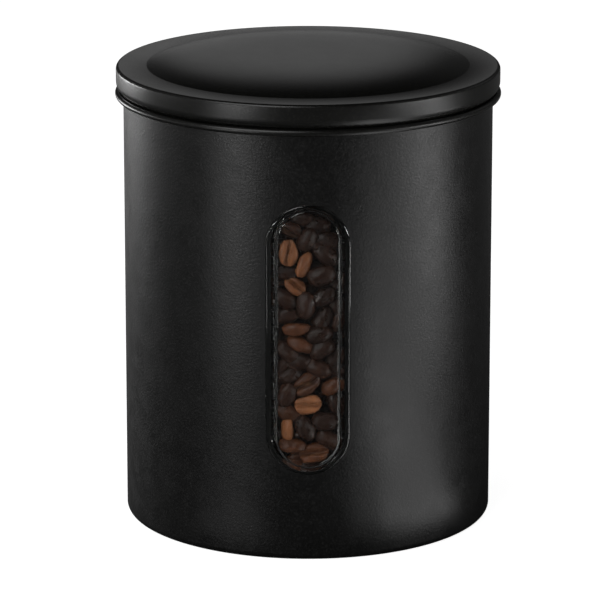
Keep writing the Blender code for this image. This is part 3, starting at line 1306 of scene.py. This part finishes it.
WINDOW_BEANS = (
    WindowBean(303, 218, 0, Side.BACK, 0.15, 1.3),
    WindowBean(318, 225, 10, Side.BACK, 0.05, 1.1),
    WindowBean(290, 230, 160, Side.CREASE_LEFT, 0.3, 0.6, 0.95),
    WindowBean(307, 239, 56, Side.BACK, 0.12, 0.5),
    WindowBean(328, 240, 165, Side.BACK, 0.05, 0.8),
    WindowBean(288.5, 253, 90, Side.CREASE, 0.85, 0.0),
    WindowBean(326, 254, 140, Side.BACK, 0.1, 0.5, 1.05),
    WindowBean(303, 264, 71, Side.LEFT_FLANK, 0.8, 0.5),
    WindowBean(286, 272, 5, Side.BACK, 0.1, 1.0),
    WindowBean(321.5, 275, 15, Side.BACK, 0.15, 0.0, 1.05),
    WindowBean(336, 283, 60, Side.BACK, 0.1, 1.2),
    WindowBean(295, 285.5, 150, Side.CREASE_RIGHT, 0.75, 0.3, 0.85),
    WindowBean(324, 296, 30, Side.BACK, 0.05, 0.4),
    WindowBean(286, 299, 140, Side.BACK, 0.2, 0.3),
    WindowBean(305.5, 305, 82, Side.BACK, 0.25, 0.0, 1.05),
    WindowBean(336, 306, 95, Side.BACK, 0.2, 1.2),
    WindowBean(287, 314, 20, Side.BACK, 0.2, 0.8),
    WindowBean(322.5, 318, 60, Side.BACK, 0.1, 0.6),
    WindowBean(336, 320, 70, Side.LEFT_FLANK, 0.35, 1.2),
    WindowBean(296, 327, 5, Side.LEFT_FLANK, 0.62, 0.1),
    WindowBean(319, 334.5, 10, Side.BACK, 0.08, 0.2, 1.05),
    WindowBean(300, 344.5, 155, Side.LEFT_FLANK, 0.6, 0.3, 1.05),
    WindowBean(322, 348.5, 30, Side.BACK, 0.15, 0.1),
    WindowBean(287.5, 351, 140, Side.BACK, 0.25, 0.5),
    WindowBean(335, 358, 60, Side.BACK, 0.15, 0.9),
    WindowBean(300.5, 361, 10, Side.BACK, 0.15, 0.7),
    WindowBean(284.5, 365, 60, Side.BACK, 0.15, 0.9),
    WindowBean(333.5, 368, 160, Side.BACK, 0.15, 1.0),
    WindowBean(319, 368.5, 155, Side.BACK, 0.3, 0.3),
    WindowBean(289, 375, 25, Side.BACK, 0.15, 0.6),
    WindowBean(306.5, 384, 38, Side.CREASE, 0.48, 0.0, 1.08),
    WindowBean(333.5, 385.5, 20, Side.BACK, 0.6, 0.6, 0.9),
    WindowBean(286.5, 394, 62, Side.BACK, 0.3, 0.2),
    WindowBean(336, 402, 100, Side.BACK, 0.15, 0.9),
    WindowBean(308, 404.5, 10, Side.CREASE, 0.95, 0.05),
    WindowBean(288, 412, 150, Side.BACK, 0.45, 0.5),
    WindowBean(325.5, 421, 178, Side.BACK, 0.12, 0.1, 1.05),
    WindowBean(305, 427.5, 125, Side.BACK, 0.12, 0.0, 1.02),
    WindowBean(289.5, 428, 90, Side.RIGHT_FLANK, 0.9, 0.3, 0.95),
    WindowBean(328, 438.5, 150, Side.BACK, 0.3, 0.2),
    WindowBean(292, 446, 178, Side.LEFT_FLANK, 0.55, 0.2, 1.05),
    WindowBean(314, 452.5, 17, Side.CREASE_LEFT, 0.66, 0.0, 1.08),
    WindowBean(294, 464, 170, Side.BACK, 0.5, 0.8),
    WindowBean(310, 467, 0, Side.BACK, 0.15, 0.7),
)


@dataclass(frozen=True)
class BeanShape:
    """One bean: domed back, flatter face with a crease along it.

    Attributes:
        length: along its long axis.
        width: across its face.
        back: height of the domed back above the widest line.
        face: height of the creased face below the widest line.
        crease_depth: depth of the fold.
        crease_width: half width of the fold.
        crease_sway: how far the fold sways from the middle line.
        face_fullness: how flat the face is, 2 being round.
        girth_fullness: how blunt the ends are, 2 being round.
        girth_root: how full the bean is towards its ends, 2 being round.
        sway_turns: the sway's angle at an end, in radians.
        rings: steps along the bean.
        back_steps: steps over the back.
        face_shares: places across the face, from one edge to the other.
    """

    length: float = 0.0112
    width: float = 0.0076
    back: float = 0.0035
    face: float = 0.0019
    crease_depth: float = 0.0023
    crease_width: float = 0.0009
    crease_sway: float = 0.0007
    face_fullness: float = 2.6
    girth_fullness: float = 2.4
    girth_root: float = 2.2
    sway_turns: float = 2.4
    rings: int = 6
    back_steps: int = 4
    face_shares: tuple[float, ...] = (-0.7, -0.22, 0.0, 0.22, 0.7)

    def around(self) -> list[Point]:
        """Returns the cross-section as shares of half the width and of the back's or face's height."""
        angles = [pi * i / self.back_steps for i in range(self.back_steps + 1)]
        back = [(cos(angle), sin(angle)) for angle in angles]
        face = [(share, -((1 - abs(share) ** self.face_fullness) ** 0.5)) for share in self.face_shares]
        return back + face

    def point(self, along: float, across: float, up: float) -> tuple[Vector, float]:
        """A point of the skin.

        Args:
            along: place along the bean, as a share of half its length.
            across: place across it, as a share of half its width there.
            up: height as a share of the back's or the face's.

        Returns:
            The point, and how deep it lies in the crease, from 0 to 1.
        """
        girth = (1 - abs(along) ** self.girth_fullness) ** (1 / self.girth_root)
        x = along * self.length / 2
        y = across * girth * self.width / 2
        if up >= 0:
            return Vector((x, y, up * girth * self.back)), 0.0
        sway = self.crease_sway * sin(self.sway_turns * along)
        fold = np.exp(-(((y - sway) / self.crease_width) ** 2)) * girth
        z = up * girth * self.face + fold * self.crease_depth
        return Vector((x, y, z)), float(fold)

    def build(self, name: str) -> bpy.types.Object:
        """Makes the bean, with how deep each point lies in the crease as its attribute.

        Args:
            name: the bean's name.

        Returns:
            The bean, which the scene itself doesn't show.
        """
        section = self.around()
        form = bmesh.new()
        deep = form.verts.layers.float.new("crease")
        rings = []
        for i in range(1, self.rings):
            ring = []
            for across, up in section:
                place, fold = self.point(-cos(pi * i / self.rings), across, up)
                vertex = form.verts.new(place)
                vertex[deep] = fold
                ring.append(vertex)
            rings.append(ring)
        join_rings(form, rings)
        for end, ring in ((-1.0, rings[0]), (1.0, rings[-1])):
            tip = form.verts.new((end * self.length / 2, 0.0, 0.0))
            for i, corner in enumerate(ring):
                form.faces.new((corner, ring[(i + 1) % len(ring)], tip))
        bmesh.ops.recalc_face_normals(form, faces=form.faces)
        for face in form.faces:
            face.smooth = True
        return bpy.data.objects.new(name, to_mesh(form, name))


class Scattering(NodeModifier):
    """Puts a bean on each point, turned, sized and roasted as the point says."""

    def __init__(self) -> None:
        """Builds the tree."""
        sizes = {"Lump Size": "NodeSocketFloat", "Lump Height": "NodeSocketFloat"}
        super().__init__("scattering", {"Bean": "NodeSocketObject", "Finish": "NodeSocketMaterial"} | sizes)
        tree = self.tree
        bean = tree.add("GeometryNodeObjectInfo", {"Object": self.given["Bean"], "As Instance": True})
        turn = tree.add("GeometryNodeInputNamedAttribute", {"Name": "turn"}, data_type="FLOAT_VECTOR")
        rotation = tree.add("FunctionNodeEulerToRotation", {0: turn.outputs[0]})
        size = tree.add("GeometryNodeInputNamedAttribute", {"Name": "size"}, data_type="FLOAT_VECTOR")
        placed = tree.add(
            "GeometryNodeInstanceOnPoints",
            {
                "Points": self.given["Geometry"],
                "Instance": bean.outputs["Geometry"],
                "Rotation": rotation.outputs[0],
                "Scale": size.outputs[0],
            },
        )
        real = tree.add("GeometryNodeRealizeInstances", {0: placed.outputs[0]})
        closeness = tree.math("DIVIDE", 1.0, self.given["Lump Size"])
        lumps = tree.add("ShaderNodeTexNoise", {"Scale": closeness, "Detail": 1.0})
        centred = tree.math("SUBTRACT", lumps.outputs[0], 0.5)
        height = tree.math("MULTIPLY", centred, self.given["Lump Height"])
        normal = tree.add("GeometryNodeInputNormal").outputs[0]
        offset = tree.add("ShaderNodeVectorMath", {0: normal, "Scale": height}, operation="SCALE")
        moved = tree.add("GeometryNodeSetPosition", {0: real.outputs[0], "Offset": offset.outputs[0]})
        self.end(moved.outputs[0])


@dataclass
class Beans:
    """The loose contents: listed beans at the window, and more behind them and on top.

    Attributes:
        barrel: what they fill.
        window: what they show at.
        camera: the photograph's.
        level: height of the heap's top.
        spacing: from bean to bean, the unit of the shares below.
        seed: of the random draws.
        lump_size: the size of the lumps that make each bean different.
        lump_height: how far the lumps stand up.
        fine: a bean at the window.
        coarse: any other bean.
        skin: their finish.
        layers: layers at the top, and layers behind the window.
        layer_share: from layer to layer at the top, as a share of the spacing.
        row_reach: how far the rows go before they are trimmed, as a share of the heap's radius.
        front_backs: how far the first layer lies behind the pane, in heights of a bean's back.
        front_share: from layer to layer behind the window, as a share of the spacing.
        front_columns: where a row behind the window starts and ends, in spacings.
        jitter: how far beans are moved at random, as a share of the spacing.
        closeness: how close two beans may lie, as a share of the spacing.
        rounds: how often beans that are too close are pushed apart.
        push_share: how much of the way they are pushed each time.
        tilt: how far they are tipped at random, in radians.
        size_spread: how far their sizes differ.
        roast_spread: shape and scale of the spread of their roasts.
        roast_limit: the palest roast.
    """

    barrel: Barrel
    window: Window
    camera: PhotoCamera
    level: float = 0.166
    spacing: float = 0.0083
    seed: int = 11
    lump_size: float = 0.0045
    lump_height: float = 0.0016
    fine: BeanShape = BeanShape(
        rings=20,
        back_steps=12,
        face_shares=(
            *(-0.93, -0.8, -0.6, -0.4, -0.24, -0.14, -0.07),
            *(0.0, 0.07, 0.14, 0.24, 0.4, 0.6, 0.8, 0.93),
        ),
    )
    coarse: BeanShape = BeanShape()
    skin: RoastedBean = field(default_factory=RoastedBean)
    layers: int = 3
    layer_share: float = 0.82
    row_reach: float = 1.16
    front_backs: float = 3.4
    front_share: float = 0.85
    front_columns: Point = (-3.5, 3.6)
    jitter: float = 0.2
    closeness: float = 0.93
    rounds: int = 30
    push_share: float = 0.6
    tilt: float = 0.45
    size_spread: float = 0.06
    roast_spread: Point = (1.6, 0.12)
    roast_limit: float = 0.9

    def scatter(
        self,
        name: str,
        shape: BeanShape,
        places: Sequence[Vector],
        turns: Sequence[Matrix],
        sizes: Sequence[float],
        roasts: Sequence[float],
        scattering: Scattering,
        material: bpy.types.Material,
    ) -> None:
        """Puts one piece together from beans of one shape.

        Args:
            name: the piece's name.
            shape: the beans' shape.
            places: their middles.
            turns: their rotations.
            sizes: their sizes against the usual one.
            roasts: how pale they are.
            scattering: the tree that places them.
            material: their finish.
        """
        mesh = bpy.data.meshes.new(name + "_points")
        mesh.from_pydata([tuple(place) for place in places], [], [])
        layers = (
            ("turn", "FLOAT_VECTOR", "vector", [tuple(turn.to_euler()) for turn in turns]),
            ("size", "FLOAT_VECTOR", "vector", np.repeat(sizes, 3)),
            ("roast", "FLOAT", "value", roasts),
        )
        for title, kind, part, values in layers:
            layer = mesh.attributes.new(title, kind, "POINT")
            layer.data.foreach_set(part, np.array(values, np.float32).ravel())
        bean = shape.build(name + "_bean")
        lumps = {"Lump_Size": self.lump_size, "Lump_Height": self.lump_height}
        piece = scattering.run(new_object(name + "_points", mesh), name, Bean=bean, Finish=material, **lumps)
        bpy.data.objects.remove(bean, do_unlink=True)
        hand_over(piece, Body.CANISTER)

    def build_window_beans(self, scattering: Scattering, material: bpy.types.Material) -> None:
        """Places the listed beans behind the pane.

        Args:
            scattering: the tree that places them.
            material: their finish.
        """
        shape = self.fine
        places, turns = [], []
        for bean in WINDOW_BEANS:
            radius = self.window.pane_inside - self.window.seat_gap - shape.back * bean.size
            radius -= bean.depth * shape.back
            place = self.camera.on_cylinder(bean.column, bean.row, radius)
            outward = Vector((place.x, place.y, 0.0)).normalized()
            right = Vector((-outward.y, outward.x, 0.0))
            along = right * cos(radians(bean.turn)) + Vector((0.0, 0.0, sin(radians(bean.turn))))
            basis = Matrix((along, outward.cross(along), outward)).transposed()
            places.append(place)
            turns.append(basis @ Matrix.Rotation(radians(bean.side.value), 3, "X"))
        sizes = [bean.size for bean in WINDOW_BEANS]
        roasts = [bean.roast for bean in WINDOW_BEANS]
        self.scatter("window_beans", shape, places, turns, sizes, roasts, scattering, material)

    def loose_beans(self) -> np.ndarray:
        """Returns the middles of the beans behind the listed ones and on top of the heap."""
        rng = np.random.default_rng(self.seed)
        gap = self.spacing
        reach = self.barrel.inside - self.coarse.length / 2
        steps = np.arange(-reach, reach, gap)
        places = [
            [x + gap / 2 * (k % 2), y * sqrt(3) / 2, self.level - gap * (0.5 + self.layer_share * k)]
            for k in range(self.layers)
            for x in steps
            for y in np.arange(-reach * self.row_reach, reach * self.row_reach, gap)
        ]
        heap = np.array(places)
        heap[:, 0] += np.where(np.round(heap[:, 1] / (gap * sqrt(3) / 2)).astype(int) % 2, gap / 2, 0.0)
        heap = heap[np.hypot(heap[:, 0], heap[:, 1]) < reach]
        low = self.window.middle - self.window.height / 2 - gap
        rows = np.arange(low, self.level - self.layers * gap, gap * sqrt(3) / 2)
        first, last = (column * gap for column in self.front_columns)
        front = []
        for k in range(self.layers):
            depth = self.window.pane_inside - self.front_backs * self.coarse.back - k * gap * self.front_share
            for j, height in enumerate(rows):
                for x in np.arange(first, last, gap):
                    across = x + gap / 2 * ((j + k) % 2)
                    front.append([across, -sqrt(depth**2 - across**2), height])
        points = np.vstack([heap, np.array(front)])
        points += rng.normal(0.0, gap * self.jitter, points.shape)
        return self.relax(points, gap * self.closeness, reach)

    def relax(self, points: np.ndarray, gap: float, reach: float) -> np.ndarray:
        """Pushes points apart that are too close.

        Args:
            points: the points.
            gap: the least distance.
            reach: the greatest distance from the axis.

        Returns:
            The moved points.
        """
        for _ in range(self.rounds):
            apart = points[:, None, :] - points[None, :, :]
            length = np.linalg.norm(apart, axis=2)
            np.fill_diagonal(length, gap)
            push = np.clip(gap - length, 0.0, None) / np.maximum(length, MERGE) / 2
            points = points + self.push_share * np.sum(apart * push[:, :, None], axis=1)
            radial = np.hypot(points[:, 0], points[:, 1])
            points[:, :2] *= np.minimum(1.0, reach / np.maximum(radial, MERGE))[:, None]
            points[:, 2] = np.minimum(points[:, 2], self.level)
        return points

    def build_loose_beans(self, scattering: Scattering, material: bpy.types.Material) -> None:
        """Places the beans that fill up behind the listed ones.

        Args:
            scattering: the tree that places them.
            material: their finish.
        """
        rng = np.random.default_rng(self.seed + 1)
        points = self.loose_beans()
        turns = []
        for _ in points:
            heading, tilt, roll = rng.uniform(0, 2 * pi), rng.normal(0, self.tilt), rng.uniform(0, 2 * pi)
            lying = Matrix.Rotation(heading, 3, "Z") @ Matrix.Rotation(tilt, 3, "Y")
            turns.append(lying @ Matrix.Rotation(roll, 3, "X"))
        sizes = rng.normal(1.0, self.size_spread, len(points))
        roasts = np.clip(rng.gamma(*self.roast_spread, len(points)), 0.0, self.roast_limit)
        places = [Vector(point) for point in points]
        self.scatter("loose_beans", self.coarse, places, turns, sizes, roasts, scattering, material)

    def build(self) -> None:
        """Makes both groups of beans."""
        scattering = Scattering()
        material = self.skin.build()
        self.build_window_beans(scattering, material)
        self.build_loose_beans(scattering, material)


@dataclass(frozen=True)
class SoftBox:
    """A lamp with a large soft face, aimed at the canister.

    Attributes:
        name: its name.
        azimuth: its direction from the canister in degrees, 0 in front and 90 at the right.
        elevation: its direction above the floor, in degrees.
        width: its face's width.
        height: its face's height.
        power: in watts.
        distance: from the canister's middle.
    """

    name: str
    azimuth: float
    elevation: float
    width: float
    height: float
    power: float
    distance: float

    def build(self, target: Vector) -> None:
        """Makes the lamp.

        Args:
            target: what it is aimed at.
        """
        data = bpy.data.lights.new(self.name, "AREA")
        data.shape = "RECTANGLE"
        data.size = self.width
        data.size_y = self.height
        data.energy = self.power
        lamp = new_object(self.name, data)
        self.place(lamp, target)
        lamp.visible_camera = False

    def place(self, lamp: bpy.types.Object, target: Vector) -> None:
        """Hangs the lamp and aims it.

        Args:
            lamp: the lamp.
            target: what it is aimed at.
        """
        around, up = radians(self.azimuth), radians(self.elevation)
        way = Vector((sin(around) * cos(up), -cos(around) * cos(up), sin(up)))
        lamp.location = target + way * self.distance
        lamp.rotation_euler = way.to_track_quat("Z", "Y").to_euler()


@dataclass(frozen=True)
class FloorCard(SoftBox):
    """A soft card that lies on the floor and glows upwards, its height along its direction.

    Attributes:
        clearance: how far above the floor it lies.
    """

    clearance: float = 0.004

    def place(self, lamp: bpy.types.Object, target: Vector) -> None:
        """Lays the card down beside the target, facing up.

        Args:
            lamp: the lamp.
            target: what it lies beside.
        """
        around = radians(self.azimuth)
        lamp.location = (
            target.x + sin(around) * self.distance,
            target.y - cos(around) * self.distance,
            self.clearance,
        )
        lamp.rotation_euler = (Matrix.Rotation(around, 3, "Z") @ Matrix.Rotation(pi, 3, "X")).to_euler()


def sines(angles: Point) -> Point:
    """Returns the sines of two angles in degrees, which are what a direction's parts say."""
    return sin(radians(angles[0])), sin(radians(angles[1]))


@dataclass
class Studio:
    """A pale floor, a white backdrop behind the canister, a dark room in front of it and soft lamps.

    Attributes:
        target: what the lamps are aimed at.
        floor_side: the floor's width.
        floor_colour: the floor's colour.
        floor_lift: what the camera sees on top of the lit floor.
        ambient: the room's even light.
        front_share: how much of the lit floor in front is mirrored.
        backdrop_share: how bright surfaces mirror the middle of the backdrop.
        backdrop_edge: how much of that is left at its sides.
        backdrop_top: directions between which the backdrop ends upwards, in degrees.
        backdrop_side: directions between which it dims sideways, in degrees from its middle.
        backdrop_aside: how far its middle stands to the left, in degrees.
        room_share: how bright surfaces mirror the room's upper part at both sides.
        room_foot: directions between which that part begins upwards, in degrees.
        room_side: directions between which it begins sideways, in degrees.
        backdrop_rise: how far backwards a direction points where the backdrop is at its full.
        behind_reach: how far behind the canister the floor is mirrored as backdrop.
        boxes: the lamps.
    """

    target: Vector
    floor_side: float = 14.0
    floor_colour: Colour = (0.6, 0.6, 0.6)
    floor_lift: float = 0.93
    ambient: float = 0.1
    front_share: float = 0.15
    backdrop_share: float = 0.245
    backdrop_edge: float = 0.12
    backdrop_top: Point = (16.0, 44.0)
    backdrop_side: Point = (2.0, 8.5)
    backdrop_aside: float = 1.5
    room_share: float = 0.13
    room_foot: Point = (4.0, 24.0)
    room_side: Point = (18.0, 40.0)
    backdrop_rise: float = 0.8
    behind_reach: float = 1.5
    boxes: tuple[SoftBox, ...] = (
        SoftBox("key_box", -38, 45, 1.0, 1.0, 8.5, 1.4),
        SoftBox("right_box", 76, 2, 0.41, 0.3, 6.3, 2.0),
        SoftBox("right_fill", 60, 2, 0.41, 0.3, 3.9, 2.0),
        SoftBox("left_box", -42, 1, 0.42, 0.2, 3.0, 1.4),
        SoftBox("left_fill", -88, 1, 0.6, 0.2, 0.6, 1.4),
        SoftBox("back_left_box", -128, 1, 0.6, 0.2, 5.0, 1.25),
        FloorCard("right_card", 79, 0, 0.2, 0.6, 1.45, 0.7),
        FloorCard("right_low_card", 62, 0, 0.2, 0.6, 0.4, 0.7),
        FloorCard("right_near_card", 54, 0, 0.1, 0.27, 0.105, 0.265),
        FloorCard("right_shoulder_card", 38, 0, 0.1, 0.34, 0.26, 0.36),
        FloorCard("right_under_card", 29, 0, 0.045, 0.035, 0.004, 0.122),
        FloorCard("right_foot_card", 50, 0, 0.07, 0.03, 0.012, 0.108),
        FloorCard("left_card", -46, 0, 0.17, 0.6, 0.5, 0.7),
        FloorCard("left_foot_card", -32, 0, 0.05, 0.03, 0.0015, 0.108),
    )

    def rays(self, tree: Tree) -> tuple[Socket, Socket]:
        """Tells kinds of rays apart.

        Args:
            tree: the tree that asks.

        Returns:
            1 for the camera's rays, and 1 for rays that were mirrored or went through something clear.
        """
        path = tree.add("ShaderNodeLightPath").outputs
        mirrored = tree.math("MAXIMUM", path["Is Glossy Ray"], path["Is Transmission Ray"])
        return path["Is Camera Ray"], mirrored

    def backdrop(self, tree: Tree) -> Socket:
        """How bright the backdrop is in a direction.

        Args:
            tree: the world's tree.

        Returns:
            The brightness that mirroring and clear surfaces show.
        """
        across, along, up = tree.axes(tree.coordinates("Generated"))
        behind = tree.ramp(along, (0.0, self.backdrop_rise), (0.0, self.backdrop_share))
        below = tree.ramp(up, sines(self.backdrop_top), (1.0, 0.0))
        aside = tree.math("ABSOLUTE", tree.math("ADD", across, sin(radians(self.backdrop_aside))))
        middle = tree.ramp(aside, sines(self.backdrop_side), (1.0, self.backdrop_edge))
        seen = tree.math("MULTIPLY", behind, tree.math("MULTIPLY", below, middle))
        room = tree.ramp(up, sines(self.room_foot), (0.0, self.room_share))
        beside = tree.ramp(tree.math("ABSOLUTE", across), sines(self.room_side))
        return tree.math("MULTIPLY_ADD", room, beside, seen)

    def build_world(self) -> None:
        """Lights the room evenly, and shows white where the camera looks past the object."""
        world = bpy.data.worlds.new("room")
        bpy.context.scene.world = world
        world.use_nodes = True
        tree = Tree(world.node_tree)
        camera, mirrored = self.rays(tree)
        other = tree.math("SUBTRACT", 1.0, tree.math("MAXIMUM", camera, mirrored))
        shown = tree.math("MULTIPLY_ADD", mirrored, self.backdrop(tree), camera)
        strength = tree.math("MULTIPLY_ADD", other, self.ambient, shown)
        background = tree.add("ShaderNodeBackground", {"Color": WHITE, "Strength": strength})
        tree.add("ShaderNodeOutputWorld", {"Surface": background.outputs[0]})

    def build_floor(self) -> None:
        """Lays the floor, which is lifted to white for the camera and keeps the object's shadow."""
        form = bmesh.new()
        bmesh.ops.create_grid(form, x_segments=1, y_segments=1, size=self.floor_side / 2)
        floor = new_object("floor", to_mesh(form, "floor"))
        material = bpy.data.materials.new("floor_paper")
        material.use_nodes = True
        tree = Tree(material.node_tree)
        camera, mirrored = self.rays(tree)
        behind = tree.ramp(tree.axes(tree.coordinates("Object"))[1], (0.0, self.behind_reach))
        hidden = tree.math("MULTIPLY", mirrored, tree.math("SUBTRACT", 1.0, behind))
        dim = tree.math("MULTIPLY", hidden, 1.0 - self.front_share)
        colour = tree.add("ShaderNodeVectorMath", {0: self.floor_colour}, operation="SCALE")
        tree.feed(colour.inputs["Scale"], tree.math("SUBTRACT", 1.0, dim))
        paper = tree.add("ShaderNodeBsdfDiffuse", {"Color": colour.outputs[0]})
        back_share = tree.math("MULTIPLY", behind, self.backdrop_edge * self.backdrop_share)
        shown = tree.math("MULTIPLY_ADD", mirrored, back_share, camera)
        lift = tree.math("MULTIPLY", shown, self.floor_lift)
        glow = tree.add("ShaderNodeEmission", {"Color": WHITE, "Strength": lift})
        both = tree.add("ShaderNodeAddShader", {0: paper.outputs[0], 1: glow.outputs[0]})
        tree.add("ShaderNodeOutputMaterial", {"Surface": both.outputs[0]})
        dress(floor, material)

    def build(self) -> None:
        """Makes the room, the floor and the lamps."""
        self.build_world()
        self.build_floor()
        for box in self.boxes:
            box.build(self.target)


def main() -> None:
    """Builds the object and the studio in order."""
    logging.basicConfig(level=logging.INFO, format="%(name)s: %(message)s")
    bpy.context.scene.view_settings.view_transform = "Standard"
    turning = Turning()
    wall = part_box("barrel")[1]
    barrel = Barrel(radius=wall.x, height=wall.z)
    low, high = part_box("window_pane")
    window = Window(barrel, (low.z + high.z) / 2, high.x - low.x, high.z - low.z, -low.y)
    low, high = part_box("lid_cover")
    lid = Lid(barrel, hem_outside=high.x, hem_foot=low.z, top=high.z)
    camera = PhotoCamera()
    barrel.build(turning, window)
    Base(barrel).build(turning)
    window.build()
    lid.build(turning)
    Beans(barrel, window, camera).build()
    camera.build()
    Studio(target=Vector((0.0, 0.0, barrel.height / 2))).build()


if __name__ == "__main__":
    main()
